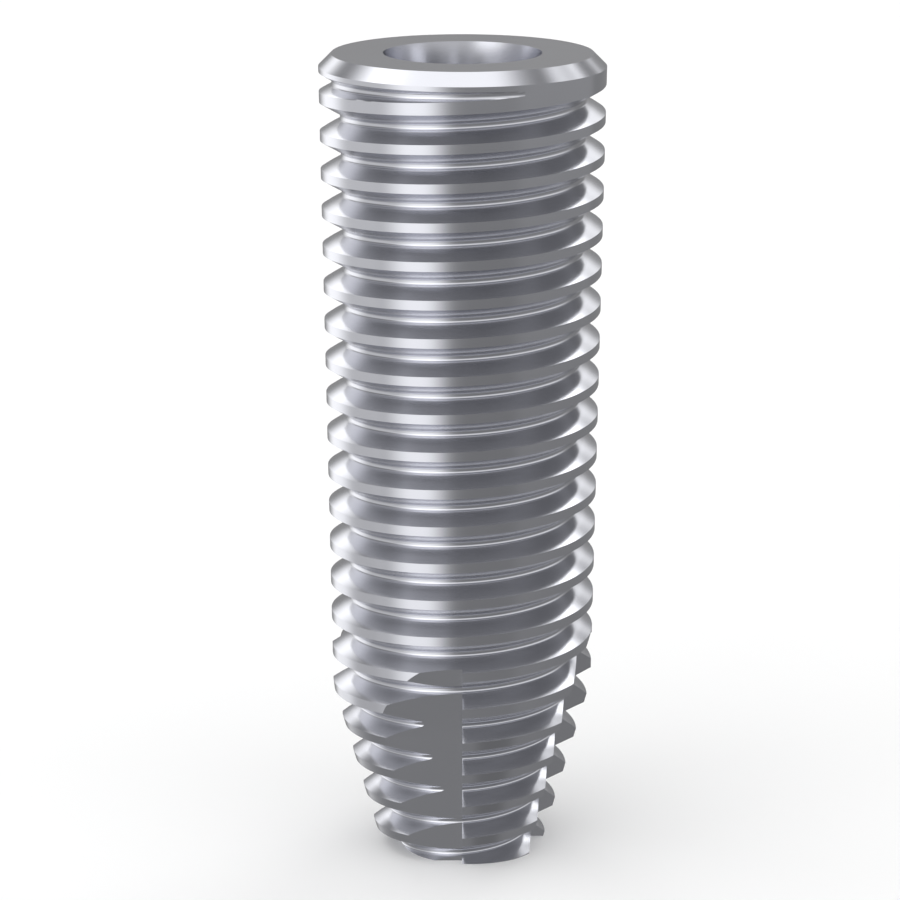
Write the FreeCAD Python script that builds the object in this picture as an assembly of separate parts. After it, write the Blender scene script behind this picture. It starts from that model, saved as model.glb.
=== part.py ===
import FreeCAD, Part
import math
import os
from FreeCAD import Vector

# A bone level dental implant, turned and milled from one bar of titanium.
# It stands on its flat tip: the origin is the centre of that tip and +Z runs up the axis to the platform.
# Sizes are in millimetres, and angles are in degrees unless a name says otherwise.

# Body, as turned
implant_length = 13.0
collar_diameter = 4.5
platform_chamfer = 0.2
body_taper_deg = 0.87
apex_height = 2.7
apex_taper_deg = 15.6

# Thread: one start, right hand, with a flat crest and a narrow flat root
thread_pitch = 0.6
thread_crest_width = 0.15
thread_depth = 0.32
flank_angle_deg = 30.0

# Run-out of the groove under the collar, where it grows shallow and flattens its lead
run_out_angle_deg = -66.0
run_out_drop = 0.2
run_out_turns = 0.8
run_out_sag = 0.13

# Cutting flutes at the tip: each has one radial wall and one sloping flat floor
flute_count = 4
flute_wall_angle_deg = -90.0
flute_floor_at_tip = 1.09
flute_floor_slope_deg = 11.6
flute_straight_height = 2.3
flute_run_out_radius = 4.5
flute_start_below_tip = 1.0

# Connection inside: a self-locking taper, a hexagon that stops rotation, and the screw hole
taper_mouth_diameter = 2.48
taper_half_angle_deg = 5.7
taper_length = 1.9
hex_across_flats = 1.9
hex_length = 1.2
screw_hole_diameter = 1.22
screw_hole_length = 3.7
screw_lead_in = 0.2
drill_point_half_angle_deg = 59.0

# Cutters pass the surface that they cut by this much
over_cut = 0.08
# Points per turn along the groove
points_per_turn = 12

collar_radius = collar_diameter / 2
band_top = implant_length - platform_chamfer


def tan_deg(angle):
    return math.tan(math.radians(angle))


def body_radius(z):
    """Radius over the thread crests at a height: a long slight taper, then the steeper apex."""
    above_apex = max(z, apex_height)
    below_apex = max(apex_height - z, 0.0)
    long_taper = (band_top - above_apex) * tan_deg(body_taper_deg)
    return collar_radius - long_taper - below_apex * tan_deg(apex_taper_deg)


def turned_blank():
    """The outside before threading, as one profile turned about the axis."""
    platform_radius = collar_radius - platform_chamfer
    outline = [
        Vector(0, 0, 0),
        Vector(body_radius(0), 0, 0),
        Vector(body_radius(apex_height), 0, apex_height),
        Vector(collar_radius, 0, band_top),
        Vector(platform_radius, 0, implant_length),
        Vector(0, 0, implant_length),
        Vector(0, 0, 0),
    ]
    profile = Part.Face(Part.makePolygon(outline))
    return profile.revolve(Vector(0, 0, 0), Vector(0, 0, 1), 360)


def groove_section(turn):
    """Four corners of the groove's section, some turns below its run-out."""
    fade = max(1 - turn / run_out_turns, 0.0) ** 2
    depth = thread_depth * (1 - fade)
    slope = tan_deg(flank_angle_deg)
    root_half_width = (thread_pitch - thread_crest_width) / 2 - thread_depth * slope
    mouth_half_width = root_half_width + (depth + over_cut) * slope
    centre = implant_length - run_out_drop - run_out_sag * fade - thread_pitch * turn
    angle = math.radians(run_out_angle_deg - 360 * turn)
    corners = [
        (centre - mouth_half_width, over_cut),
        (centre - root_half_width, -depth),
        (centre + root_half_width, -depth),
        (centre + mouth_half_width, over_cut),
    ]
    points = []
    for z, proud in corners:
        radius = body_radius(z) + proud
        points.append(Vector(radius * math.cos(angle), radius * math.sin(angle), z))
    return points


def helical_edge(points):
    curve = Part.BSplineCurve()
    curve.interpolate(Points=points, Parameters=[float(i) for i in range(len(points))])
    return curve.toShape()


def groove_cutter(start, end):
    """The material that the thread tool removes on one turn of the groove."""
    steps = math.ceil((end - start) * points_per_turn)
    sections = []
    for i in range(steps + 1):
        sections.append(groove_section(start + (end - start) * i / steps))
    edges = [helical_edge([section[corner] for section in sections]) for corner in range(4)]
    faces = []
    for corner in range(4):
        faces.append(Part.makeRuledSurface(edges[corner], edges[(corner + 1) % 4]))
    for section in (sections[0], sections[-1]):
        faces.append(Part.Face(Part.makePolygon(section + section[:1])))
    shell = Part.makeShell(faces)
    shell.sewShape()
    cutter = Part.makeSolid(Part.Shell(shell.Faces))
    if cutter.Volume < 0:
        cutter.reverse()
    return cutter


def groove_cutters():
    """The whole groove, turn by turn, from clear of the collar to clear of the tip.

    It starts a little before the run-out, where the tool's flat end stands half the over_cut proud.
    """
    start = -run_out_turns * (math.sqrt(1 + over_cut / 2 / thread_depth) - 1)
    turns = math.ceil((implant_length - run_out_drop) / thread_pitch + 1)
    cutters = []
    for i in range(turns):
        cutters.append(groove_cutter(start + i, start + i + 1))
    return cutters


def flute_cutter():
    """One cutting flute: a wedge beside the plane x = 0, open to the front and below the tip."""
    slope = math.radians(flute_floor_slope_deg)
    below = -flute_start_below_tip
    reach = collar_diameter
    floor_top = flute_floor_at_tip + flute_straight_height * math.tan(slope)
    arc_centre_y = floor_top + flute_run_out_radius * math.cos(slope)
    arc_centre_z = flute_straight_height - flute_run_out_radius * math.sin(slope)

    def on_arc(angle):
        out = arc_centre_y - flute_run_out_radius * math.cos(angle)
        return Vector(0, -out, arc_centre_z + flute_run_out_radius * math.sin(angle))

    arc_end = math.pi / 2 - slope
    floor_start = Vector(0, -flute_floor_at_tip - below * math.tan(slope), below)
    floor_end = on_arc(slope)
    run_out_end = on_arc(arc_end)
    outer_top = Vector(0, -reach - arc_centre_y, run_out_end.z)
    outer_bottom = Vector(0, -reach - arc_centre_y, below)
    outline = Part.Wire([
        Part.LineSegment(floor_start, floor_end).toShape(),
        Part.Arc(floor_end, on_arc((slope + arc_end) / 2), run_out_end).toShape(),
        Part.LineSegment(run_out_end, outer_top).toShape(),
        Part.LineSegment(outer_top, outer_bottom).toShape(),
        Part.LineSegment(outer_bottom, floor_start).toShape(),
    ])
    return Part.Face(outline).extrude(Vector(-reach, 0, 0))


def flute_cutters():
    cutters = []
    for i in range(flute_count):
        cutter = flute_cutter()
        turn = flute_wall_angle_deg + 90 + i * 360 / flute_count
        cutter.rotate(Vector(0, 0, 0), Vector(0, 0, 1), turn)
        cutters.append(cutter)
    return cutters


def taper_and_screw_hole():
    """The turned part of the connection: taper, flat bottom, lead-in, screw hole and drill point."""
    mouth_radius = taper_mouth_diameter / 2
    slope = tan_deg(taper_half_angle_deg)
    hole_radius = screw_hole_diameter / 2
    lead_radius = hole_radius + screw_lead_in
    taper_end = implant_length - taper_length
    hex_end = taper_end - hex_length
    hole_end = hex_end - screw_hole_length
    drill_tip = hole_end - hole_radius / tan_deg(drill_point_half_angle_deg)
    outline = [
        Vector(0, 0, implant_length + over_cut),
        Vector(mouth_radius + over_cut * slope, 0, implant_length + over_cut),
        Vector(mouth_radius - taper_length * slope, 0, taper_end),
        Vector(lead_radius, 0, taper_end),
        Vector(lead_radius, 0, hex_end),
        Vector(hole_radius, 0, hex_end - screw_lead_in),
        Vector(hole_radius, 0, hole_end),
        Vector(0, 0, drill_tip),
        Vector(0, 0, implant_length + over_cut),
    ]
    profile = Part.Face(Part.makePolygon(outline))
    return profile.revolve(Vector(0, 0, 0), Vector(0, 0, 1), 360)


def hexagon_socket():
    """The hexagon under the taper. Its corners reach up into the taper's wall and fade out there."""
    corner_radius = hex_across_flats / 2 / math.cos(math.pi / 6)
    hex_end = implant_length - taper_length - hex_length
    fade_out = (taper_mouth_diameter / 2 - corner_radius) / tan_deg(taper_half_angle_deg)
    socket_top = implant_length - fade_out + over_cut
    corners = []
    for i in range(7):
        angle = math.radians(60 * i)
        corners.append(Vector(corner_radius * math.cos(angle), corner_radius * math.sin(angle), hex_end))
    return Part.Face(Part.makePolygon(corners)).extrude(Vector(0, 0, socket_top - hex_end))


def implant():
    connection = taper_and_screw_hole().fuse(hexagon_socket())
    body = turned_blank().cut(groove_cutters())
    body = body.cut(flute_cutters())
    body = body.cut(connection)
    return body.Solids[0]


os.makedirs("parts", exist_ok=True)
shape = implant()
shape.exportStep("parts/implant_body.step")
box = shape.optimalBoundingBox()
print("valid", shape.isValid(), "solids", len(shape.Solids), "faces", len(shape.Faces))
print("volume", round(shape.Volume, 3), "box", [round(v, 4) for v in (box.XLength, box.YLength, box.ZLength)])
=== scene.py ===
import math

import bmesh
import bpy
from mathutils import Matrix, Vector


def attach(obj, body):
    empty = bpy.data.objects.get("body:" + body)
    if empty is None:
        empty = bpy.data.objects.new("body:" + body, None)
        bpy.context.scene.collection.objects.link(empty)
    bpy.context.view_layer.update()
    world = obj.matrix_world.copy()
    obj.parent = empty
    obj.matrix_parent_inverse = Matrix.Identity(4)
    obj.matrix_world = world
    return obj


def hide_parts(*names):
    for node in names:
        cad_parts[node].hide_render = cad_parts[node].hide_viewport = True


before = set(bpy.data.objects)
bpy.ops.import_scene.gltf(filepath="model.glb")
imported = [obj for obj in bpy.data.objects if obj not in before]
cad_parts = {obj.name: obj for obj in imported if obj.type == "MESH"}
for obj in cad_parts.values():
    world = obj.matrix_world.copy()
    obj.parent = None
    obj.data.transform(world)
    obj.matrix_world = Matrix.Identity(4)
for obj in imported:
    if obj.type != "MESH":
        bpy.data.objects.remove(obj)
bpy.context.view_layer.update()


# The implant's outside: a titanium bar turned to a slight taper with a steeper tip, then threaded with
# a single point tool. The groove has a rounded flat root and a slight crown on the flank that faces
# up, and runs out under the collar, where the tool leaves. Sizes are in millimetres until the table.
length = 13.0
collar_radius = 2.25
bevel = 0.2
body_taper = math.radians(0.87)
apex_height = 2.7
apex_taper = math.radians(15.6)

pitch = 0.6
crest = 0.15
depth = 0.32
flank = math.radians(30)
root_radius = 0.045
flank_crown = 0.008
crown_radius = 1.1
run_out_angle = math.radians(-66)
run_out_drop = 0.2
run_out_turns = 0.8
run_out_sag = 0.13
turns_above_run_out = 1.3
steps_per_turn = 144
arc_step = math.radians(12)
# Points closer together than one_point are merged, and a cut takes a point within on_plane as its own
one_point = 1e-4
on_plane = 1e-5

crest_half = (pitch - crest) / 2
root_half = crest_half - depth * math.tan(flank)
groove_start = length - run_out_drop


def body_radius(z):
    """Radius over the crests at a height above the tip."""
    rise = length - bevel - max(z, apex_height)
    steep = max(apex_height - z, 0)
    return collar_radius - rise * math.tan(body_taper) - steep * math.tan(apex_taper)


def bent_line(bm, corners, radii):
    """A chain of edges through the corners, each corner rounded to its radius by a short spin."""
    end = bm.verts.new(corners[0])
    for before, corner, after, radius in zip(corners, corners[1:], corners[2:], radii):
        into = (corner - before).normalized()
        out = (after - corner).normalized()
        turn = into.angle(out)
        setback = radius * math.tan(turn / 2)
        axis = into.cross(out).normalized()
        centre = corner - into * setback + axis.cross(into) * radius
        first = bm.verts.new(corner - into * setback)
        bm.edges.new((end, first))
        steps = math.ceil(turn / arc_step)
        arc = bmesh.ops.spin(bm, geom=[first], cent=centre, axis=axis, angle=turn, steps=steps)
        end = arc["geom_last"][0]
    last = bm.verts.new(corners[-1])
    bm.edges.new((end, last))


def threaded_rod(section, radius, rise, turns, steps, start_angle, start_height):
    """A right-hand screw surface: one turn of the section, repeated down the Z axis."""
    bm = bmesh.new()
    section(bm)
    bmesh.ops.translate(bm, vec=(radius, 0, start_height), verts=bm.verts)
    turned = Matrix.Rotation(start_angle, 3, "Z")
    bmesh.ops.rotate(bm, cent=(0, 0, 0), matrix=turned, verts=bm.verts)
    bmesh.ops.spin(
        bm, geom=bm.verts[:] + bm.edges[:], cent=(0, 0, 0), axis=(0, 0, -1),
        dvec=(0, 0, -rise / steps), angle=math.tau, steps=steps)
    one_turn = bm.verts[:] + bm.edges[:] + bm.faces[:]
    for i in range(1, turns):
        copied = bmesh.ops.duplicate(bm, geom=one_turn)["geom"]
        verts = [item for item in copied if isinstance(item, bmesh.types.BMVert)]
        bmesh.ops.translate(bm, vec=(0, 0, -rise * i), verts=verts)
    bmesh.ops.remove_doubles(bm, verts=bm.verts, dist=one_point)
    return bm


def groove_section(bm):
    """One pitch of the thread in the XZ plane, from the crest's edge below the groove to the next."""
    crown = Vector((-depth / 2, 0, -(crest_half + root_half) / 2))
    crown += flank_crown * Vector((math.sin(flank), 0, math.cos(flank)))
    corners = [
        Vector((0, 0, -crest_half)),
        crown,
        Vector((-depth, 0, -root_half)),
        Vector((-depth, 0, root_half)),
        Vector((0, 0, crest_half)),
        Vector((0, 0, crest_half + crest)),
    ]
    bent_line(bm, corners, [crown_radius, root_radius, root_radius, 0])
    bmesh.ops.remove_doubles(bm, verts=bm.verts, dist=one_point)


def lay_on_body(bm):
    """Moves the straight thread onto the tapered body, and lets the groove fade under the collar.

    turn counts from the run-out down the groove, and offset is a point's height over its middle.
    """
    for vert in bm.verts:
        x, y, z = vert.co
        angle = math.atan2(y, x)
        part_turn = ((run_out_angle - angle) / math.tau) % 1
        whole = round((groove_start - z) / pitch - part_turn)
        turn = whole + part_turn
        offset = z - (groove_start - pitch * turn)
        below_crest = collar_radius - math.hypot(x, y)
        fade = min(1, max(1 - turn / run_out_turns, 0) ** 2)
        lost = depth * fade
        edge = crest_half - lost * math.tan(flank)
        if abs(offset) > edge:
            offset = math.copysign(edge, offset)
        new_z = groove_start - pitch * turn + offset - run_out_sag * fade
        new_radius = body_radius(new_z) - max(below_crest - lost, 0)
        vert.co = (new_radius * math.cos(angle), new_radius * math.sin(angle), new_z)
    bmesh.ops.remove_doubles(bm, verts=bm.verts, dist=one_point)


def trim(bm, height, above):
    """Cuts the rod square at a height, drops what is beyond and returns the edges of the cut."""
    cut = bmesh.ops.bisect_plane(
        bm, geom=bm.verts[:] + bm.edges[:] + bm.faces[:], dist=on_plane,
        plane_co=(0, 0, height), plane_no=(0, 0, 1), clear_outer=above, clear_inner=not above)
    return [item for item in cut["geom_cut"] if isinstance(item, bmesh.types.BMEdge)]


def as_object(bm, name):
    """Turns a mesh in millimetres into an object in metres, facing outwards."""
    bmesh.ops.recalc_face_normals(bm, faces=bm.faces)
    bmesh.ops.scale(bm, vec=(0.001, 0.001, 0.001), verts=bm.verts)
    mesh = bpy.data.meshes.new(name)
    bm.to_mesh(mesh)
    bm.free()
    piece = bpy.data.objects.new(name, mesh)
    bpy.context.scene.collection.objects.link(piece)
    return piece


total_turns = math.ceil(turns_above_run_out + groove_start / pitch + 1)
rod = threaded_rod(
    groove_section, collar_radius, pitch, total_turns, steps_per_turn,
    run_out_angle + math.tau * turns_above_run_out, groove_start + pitch * turns_above_run_out)
lay_on_body(rod)
tip_edges = trim(rod, 0, above=False)
bmesh.ops.edgeloop_fill(rod, edges=tip_edges)
collar_edges = trim(rod, length - bevel, above=True)
raised = bmesh.ops.extrude_edge_only(rod, edges=collar_edges)["geom"]
raised_verts = [item for item in raised if isinstance(item, bmesh.types.BMVert)]
raised_edges = [item for item in raised if isinstance(item, bmesh.types.BMEdge)]
platform_ratio = (collar_radius - bevel) / collar_radius
bmesh.ops.scale(rod, vec=(platform_ratio, platform_ratio, 1), verts=raised_verts)
bmesh.ops.translate(rod, vec=(0, 0, bevel), verts=raised_verts)
bmesh.ops.edgeloop_fill(rod, edges=raised_edges)
implant = as_object(rod, "implant")


# The four cutting flutes at the tip, milled after threading. Each has one radial wall that cuts
# bone as the implant turns, and one flat floor that slopes in with the tip and curves out at its top,
# where the cutter was lifted.
flute_count = 4
flute_floor_at_tip = 1.09
flute_slope = math.radians(11.6)
flute_straight_height = 2.3
flute_run_out_radius = 4.5
flute_reach = 4.5
flute_below = 1.0
arc_steps = 24


def flute_cutter():
    """The wedge that the mill sweeps, beside the plane x = 0 on the front of the tip."""
    bm = bmesh.new()
    floor_low = flute_floor_at_tip - flute_below * math.tan(flute_slope)
    floor_high = flute_floor_at_tip + flute_straight_height * math.tan(flute_slope)
    start = bm.verts.new((0, -floor_low, -flute_below))
    bend = bm.verts.new((0, -floor_high, flute_straight_height))
    bm.edges.new((start, bend))
    centre = (
        0,
        -floor_high - flute_run_out_radius * math.cos(flute_slope),
        flute_straight_height - flute_run_out_radius * math.sin(flute_slope))
    arc = bmesh.ops.spin(
        bm, geom=[bend], cent=centre, axis=(1, 0, 0),
        angle=math.pi / 2 - flute_slope, steps=arc_steps)
    top = arc["geom_last"][0]
    outer_top = bm.verts.new(top.co + Vector((0, -flute_reach, 0)))
    outer_low = bm.verts.new((0, outer_top.co.y, -flute_below))
    bm.edges.new((top, outer_top))
    bm.edges.new((outer_top, outer_low))
    bm.edges.new((outer_low, start))
    side = bmesh.ops.contextual_create(bm, geom=bm.edges[:])["faces"]
    wide = bmesh.ops.extrude_face_region(bm, geom=side)["geom"]
    far = [item for item in wide if isinstance(item, bmesh.types.BMVert)]
    bmesh.ops.translate(bm, vec=(-flute_reach, 0, 0), verts=far)
    return bm


cutters = []
for i in range(flute_count):
    wedge = flute_cutter()
    quarter = Matrix.Rotation(i * math.tau / flute_count, 3, "Z")
    bmesh.ops.rotate(wedge, cent=(0, 0, 0), matrix=quarter, verts=wedge.verts)
    cutters.append(as_object(wedge, f"flute_cutter_{i}"))


# The connection inside: a self-locking taper turned in the mouth, a hexagon broached below it whose
# corners fade out in the taper, and a blind hole tapped for the abutment's screw.
mouth_radius = 1.24
taper_slope = math.tan(math.radians(5.7))
taper_length = 1.9
hex_across_flats = 1.9
hex_length = 1.2
screw_minor_radius = 0.61
screw_major_radius = 0.8
screw_pitch = 0.35
screw_length = 3.7
lead_in = 0.2
drill_half_angle = math.radians(59)
# Tools pass the surface that they cut by this much
clearance = 0.08
round_steps = 128
screw_steps = 64
screw_flank = math.radians(30)
screw_crest_half = screw_pitch / 16

taper_end = length - taper_length
hex_end = taper_end - hex_length
hole_end = hex_end - screw_length
tap_top = hex_end - lead_in / 4

bore = bmesh.new()
path = [
    (0, length + clearance),
    (mouth_radius + clearance * taper_slope, length + clearance),
    (mouth_radius - taper_length * taper_slope, taper_end),
    (screw_minor_radius + lead_in, taper_end),
    (screw_minor_radius + lead_in, hex_end),
    (screw_minor_radius, hex_end - lead_in),
    (screw_minor_radius, hole_end),
    (0, hole_end - screw_minor_radius / math.tan(drill_half_angle)),
]
chain = [bore.verts.new((radius, 0, z)) for radius, z in path]
for lower, upper in zip(chain, chain[1:]):
    bore.edges.new((lower, upper))
bmesh.ops.spin(
    bore, geom=bore.verts[:] + bore.edges[:], cent=(0, 0, 0), axis=(0, 0, 1),
    angle=math.tau, steps=round_steps, use_merge=True)
bmesh.ops.remove_doubles(bore, verts=bore.verts, dist=one_point)
cutters.append(as_object(bore, "bore_cutter"))

hexagon = bmesh.new()
hex_corner = hex_across_flats / 2 / math.cos(math.pi / 6)
fade_out = (mouth_radius - hex_corner) / taper_slope - clearance
prism = bmesh.ops.create_cone(
    hexagon, cap_ends=True, segments=6, radius1=hex_corner, radius2=hex_corner,
    depth=length - fade_out - hex_end)
bmesh.ops.rotate(
    hexagon, cent=(0, 0, 0), matrix=Matrix.Rotation(math.pi / 6, 3, "Z"), verts=prism["verts"])
bmesh.ops.translate(hexagon, vec=(0, 0, (length - fade_out + hex_end) / 2), verts=prism["verts"])
cutters.append(as_object(hexagon, "hexagon_cutter"))


def screw_section(bm):
    """One pitch of the tapped thread, as the tap's own outline."""
    reach = screw_major_radius - screw_minor_radius
    rise = reach * math.tan(screw_flank)
    tip_half = screw_pitch / 2 - rise - screw_crest_half
    corners = [
        (0, -tip_half - rise),
        (reach, -tip_half),
        (reach, tip_half),
        (0, tip_half + rise),
        (0, screw_pitch - tip_half - rise),
    ]
    verts = [bm.verts.new((x, 0, z)) for x, z in corners]
    for lower, upper in zip(verts, verts[1:]):
        bm.edges.new((lower, upper))


tap = threaded_rod(
    screw_section, screw_minor_radius, screw_pitch, math.ceil(screw_length / screw_pitch + 2),
    screw_steps, 0, hex_end + screw_pitch)
for edges in (trim(tap, hole_end, above=False), trim(tap, tap_top, above=True)):
    bmesh.ops.edgeloop_fill(tap, edges=edges)
cutters.append(as_object(tap, "tap_cutter"))


# The finished implant: every tool's shape is cut away, and its edges are left crisp where two cuts
# meet and smooth where one cut bends.
sharp_angle = math.radians(16)
rim_tolerance = 0.001


def apply_modifiers(piece):
    """Makes what the piece's modifiers do a part of its mesh."""
    bpy.context.view_layer.update()
    finished = piece.evaluated_get(bpy.context.evaluated_depsgraph_get())
    mesh = bpy.data.meshes.new_from_object(finished)
    piece.modifiers.clear()
    piece.data = mesh


def cut_away(piece, tools):
    """Cuts each tool's shape out of the piece, and removes the tools."""
    for tool in tools:
        cut = piece.modifiers.new(tool.name, "BOOLEAN")
        cut.operation = "DIFFERENCE"
        cut.solver = "EXACT"
        cut.object = tool
    apply_modifiers(piece)
    for tool in tools:
        bpy.data.objects.remove(tool)


def weigh_normals(piece):
    """Lets the large faces steer the shading, so that the narrow ones beside them don't bend it."""
    weigh = piece.modifiers.new("weigh", "WEIGHTED_NORMAL")
    weigh.keep_sharp = True
    apply_modifiers(piece)


def keep_crest_rims(mesh):
    """Marks the crest's rims as sharp, also where the groove beside them is still shallow."""
    bm = bmesh.new()
    bm.from_mesh(mesh)
    on_crest = set()
    for vert in bm.verts:
        x, y, z = vert.co * 1000
        if abs(math.hypot(x, y) - body_radius(z)) < rim_tolerance:
            on_crest.add(vert)
    for edge in bm.edges:
        if on_crest.issuperset(edge.verts):
            flat = [on_crest.issuperset(face.verts) for face in edge.link_faces]
            if any(flat) and not all(flat):
                edge.smooth = False
    bm.to_mesh(mesh)
    bm.free()


cut_away(implant, cutters)
implant.data.name = "implant"
implant.data.shade_smooth()
implant.data.set_sharp_from_angle(angle=sharp_angle)
keep_crest_rims(implant.data)
weigh_normals(implant)


# Machined titanium, cleaned but not blasted: a cool grey metal with soft, clear reflections. The
# lathe leaves fine rings round the axis, and the cleaned skin varies a little in gloss and colour.
# Real rings lie about 0.03 mm apart, too fine to show, so they are drawn 0.12 mm apart.
def linear(hexcode):
    """An sRGB hex colour as linear red, green, blue and alpha."""
    values = []
    for i in (0, 2, 4):
        value = int(hexcode[i:i + 2], 16) / 255
        values.append(value / 12.92 if value <= 0.04045 else ((value + 0.055) / 1.055) ** 2.4)
    return (*values, 1)


def add_node(tree, kind, settings=None, inputs=None, links=None):
    """Adds a node with its settings, input values and links from other nodes' outputs."""
    node = tree.nodes.new(kind)
    for key, value in (settings or {}).items():
        setattr(node, key, value)
    for key, value in (inputs or {}).items():
        node.inputs[key].default_value = value
    for key, source in (links or {}).items():
        tree.links.new(source, node.inputs[key])
    return node


titanium_light = "CBCCD2"
titanium_dark = "C6C7CD"
roughness_low = 0.16
roughness_high = 0.22
ring_spacing = 0.12
ring_length = 10 / 3
ring_height = 0.001
ring_strength = 0.12
mottle_size = 1.6
per_metre = 1000

titanium = bpy.data.materials.new("machined_titanium")
titanium.use_nodes = True
tree = titanium.node_tree
tree.nodes.clear()
place = add_node(tree, "ShaderNodeTexCoord")
# Noise squeezed along the axis reads as turning rings
across = per_metre / ring_length
rings_place = add_node(
    tree, "ShaderNodeMapping", inputs={"Scale": (across, across, per_metre / ring_spacing)},
    links={"Vector": place.outputs["Object"]})
rings = add_node(
    tree, "ShaderNodeTexNoise", inputs={"Scale": 1.0, "Detail": 1.0},
    links={"Vector": rings_place.outputs["Vector"]})
mottle = add_node(
    tree, "ShaderNodeTexNoise", inputs={"Scale": per_metre / mottle_size, "Detail": 4.0},
    links={"Vector": place.outputs["Object"]})
shade = add_node(
    tree, "ShaderNodeMix", settings={"data_type": "RGBA"},
    inputs={"A": linear(titanium_dark), "B": linear(titanium_light)},
    links={"Factor": mottle.outputs["Fac"]})
gloss = add_node(
    tree, "ShaderNodeMapRange", inputs={"To Min": roughness_low, "To Max": roughness_high},
    links={"Value": mottle.outputs["Fac"]})
ring_bump = add_node(
    tree, "ShaderNodeBump",
    inputs={"Strength": ring_strength, "Distance": ring_height / per_metre},
    links={"Height": rings.outputs["Fac"]})
surface = add_node(
    tree, "ShaderNodeBsdfPrincipled", inputs={"Metallic": 1.0},
    links={
        "Base Color": shade.outputs["Result"],
        "Roughness": gloss.outputs["Result"],
        "Normal": ring_bump.outputs["Normal"]})
add_node(
    tree, "ShaderNodeOutputMaterial", links={"Surface": surface.outputs["BSDF"]})
implant.data.materials.clear()
implant.data.materials.append(titanium)

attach(implant, "root")
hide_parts("implant_body")


# A matte white table, wide enough to reach the horizon from every side. The implant mirrors the
# studio and not the table. Its size is in metres.
table_half_width = 3.0
table_white = "F1F1F1"

floor_mesh = bmesh.new()
bmesh.ops.create_grid(floor_mesh, x_segments=1, y_segments=1, size=table_half_width)
mesh = bpy.data.meshes.new("table")
floor_mesh.to_mesh(mesh)
floor_mesh.free()
table = bpy.data.objects.new("table", mesh)
bpy.context.scene.collection.objects.link(table)
table.visible_glossy = False
table.visible_shadow = False
paint = bpy.data.materials.new("matte_white_paint")
paint.use_nodes = True
tree = paint.node_tree
tree.nodes.clear()
coat = add_node(tree, "ShaderNodeBsdfDiffuse", inputs={"Color": linear(table_white)})
add_node(tree, "ShaderNodeOutputMaterial", links={"Surface": coat.outputs["BSDF"]})
mesh.materials.append(paint)


# The studio: a dim grey room with a white ceiling of light, a broad soft wall round the front, a tall
# strip to the left of the camera and smaller panels on both sides and behind. Black flags hold light
# back from the right of the collar and from the low front.
room_light = 0.28
least_light = 0.12

room = bpy.data.worlds.new("studio")
bpy.context.scene.world = room
room.use_nodes = True
tree = room.node_tree
tree.nodes.clear()
direction = add_node(tree, "ShaderNodeTexCoord")
split = add_node(
    tree, "ShaderNodeSeparateXYZ", links={"Vector": direction.outputs["Generated"]})


def work_out(kind, first, second=None, third=None):
    """A math node on numbers or sockets, returning its result."""
    node = add_node(tree, "ShaderNodeMath", settings={"operation": kind})
    for i, value in enumerate((first, second, third)):
        if isinstance(value, (int, float)):
            node.inputs[i].default_value = value
        elif value is not None:
            tree.links.new(value, node.inputs[i])
    return node.outputs[0]


to_degrees = 180 / math.pi
toward_camera = work_out("MULTIPLY", split.outputs["Y"], -1.0)
azimuth = work_out("MULTIPLY", work_out("ARCTAN2", split.outputs["X"], toward_camera), to_degrees)
elevation = work_out("MULTIPLY", work_out("ARCSINE", split.outputs["Z"]), to_degrees)


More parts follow.
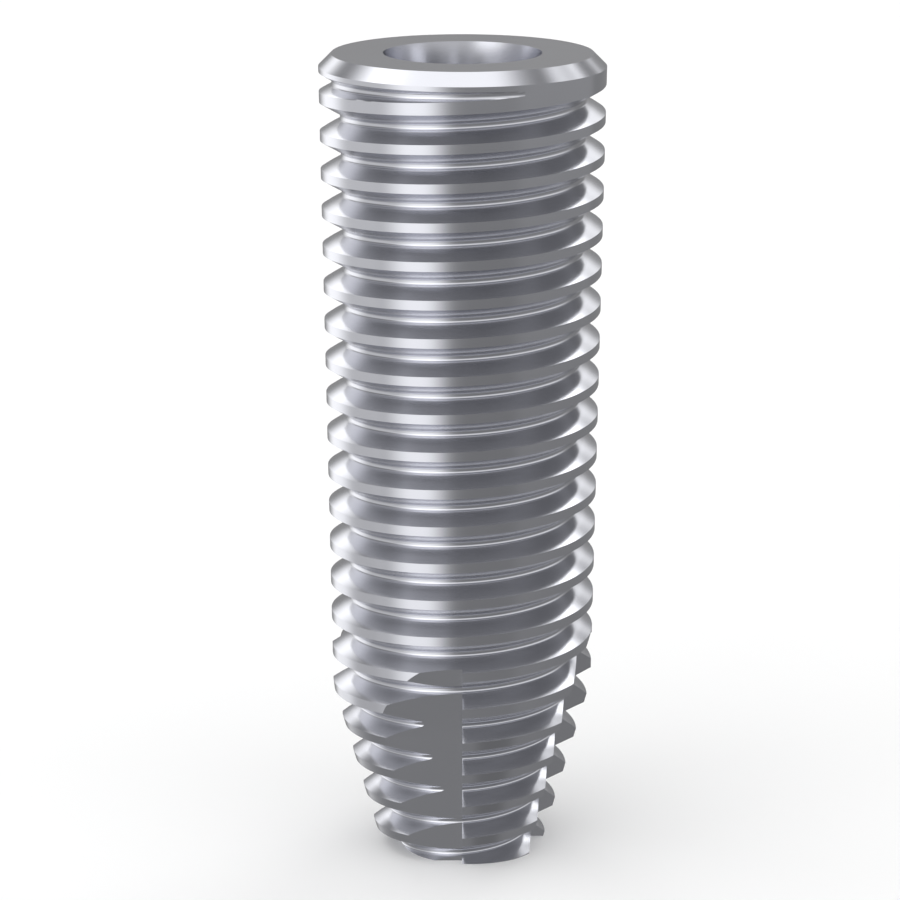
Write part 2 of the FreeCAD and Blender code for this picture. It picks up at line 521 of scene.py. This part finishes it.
def panel(azimuth_at, elevation_at, half_width, half_height, softness, level):
    """The light of one soft-edged panel, with its place and size in degrees."""
    aside = work_out("WRAP", work_out("SUBTRACT", azimuth, azimuth_at), 180.0, -180.0)
    beyond_side = work_out("SUBTRACT", work_out("ABSOLUTE", aside), half_width)
    above = work_out("ABSOLUTE", work_out("SUBTRACT", elevation, elevation_at))
    beyond_top = work_out("SUBTRACT", above, half_height)
    beyond = work_out("MAXIMUM", beyond_side, beyond_top)
    edge = add_node(
        tree, "ShaderNodeMapRange", settings={"interpolation_type": "SMOOTHSTEP"},
        inputs={"From Min": -softness, "From Max": softness, "To Min": level, "To Max": 0.0},
        links={"Value": beyond})
    return edge.outputs["Result"]


# Azimuth from the camera to the right, elevation, half width, half height, softness and level
panels = {
    "ceiling": (0, 90, 181, 36, 14, 1.27),
    "front wall": (24, 24, 90, 23, 18, 0.8),
    "tall left strip": (-39, 4, 20, 35, 14, 1.13),
    "low left": (-112, -9, 38, 13, 12, 0.53),
    "high right rear": (147, 44, 15, 9, 7, 2.8),
    "left rear": (-154, 29, 8, 15, 8, 1.62),
    "high left": (-90, 49, 34, 9, 11, 1.58),
    "beside the strip": (-67, -12, 9, 20, 8, 0.24),
    "low left rear": (-135, -9, 18, 18, 12, 0.75),
    "high right": (116, 42, 8, 8, 6, 1.1),
    "right rear": (158, 26, 8, 9, 6, 1.15),
    "rear": (180, 14, 22, 6, 8, 0.12),
    "low front": (40, -31, 42, 3, 6, 0.2),
    "flag high right": (98, 57, 21, 12, 8, -0.94),
    "flag front": (22, -14, 22, 6, 10, -0.08),
    "flag low front": (38, -50, 20, 8, 8, -0.1),
}
light = room_light
for place_and_level in panels.values():
    light = work_out("ADD", light, panel(*place_and_level))
light = work_out("MAXIMUM", light, least_light)
glow = add_node(
    tree, "ShaderNodeBackground", inputs={"Color": (1, 1, 1, 1)}, links={"Strength": light})
add_node(tree, "ShaderNodeOutputWorld", links={"Surface": glow.outputs["Background"]})


# The camera stands where the photograph was taken from: in front of one flute's wall and above the
# platform, with a long lens, tilted down to the implant's middle. Its place is in millimetres.
camera_place = (-0.1965, -52.838, 20.612)
camera_pitch = 14.852
lens = 136.34
sensor = 36.0

lens_data = bpy.data.cameras.new("camera")
lens_data.lens = lens
lens_data.sensor_width = sensor
lens_data.clip_start = 0.001
lens_data.clip_end = 10.0
camera = bpy.data.objects.new("camera", lens_data)
camera.location = Vector(camera_place) * 0.001
camera.rotation_euler = (math.radians(90 - camera_pitch), 0, 0)
bpy.context.scene.collection.objects.link(camera)
bpy.context.scene.camera = camera
bpy.context.scene.view_settings.view_transform = "Standard"
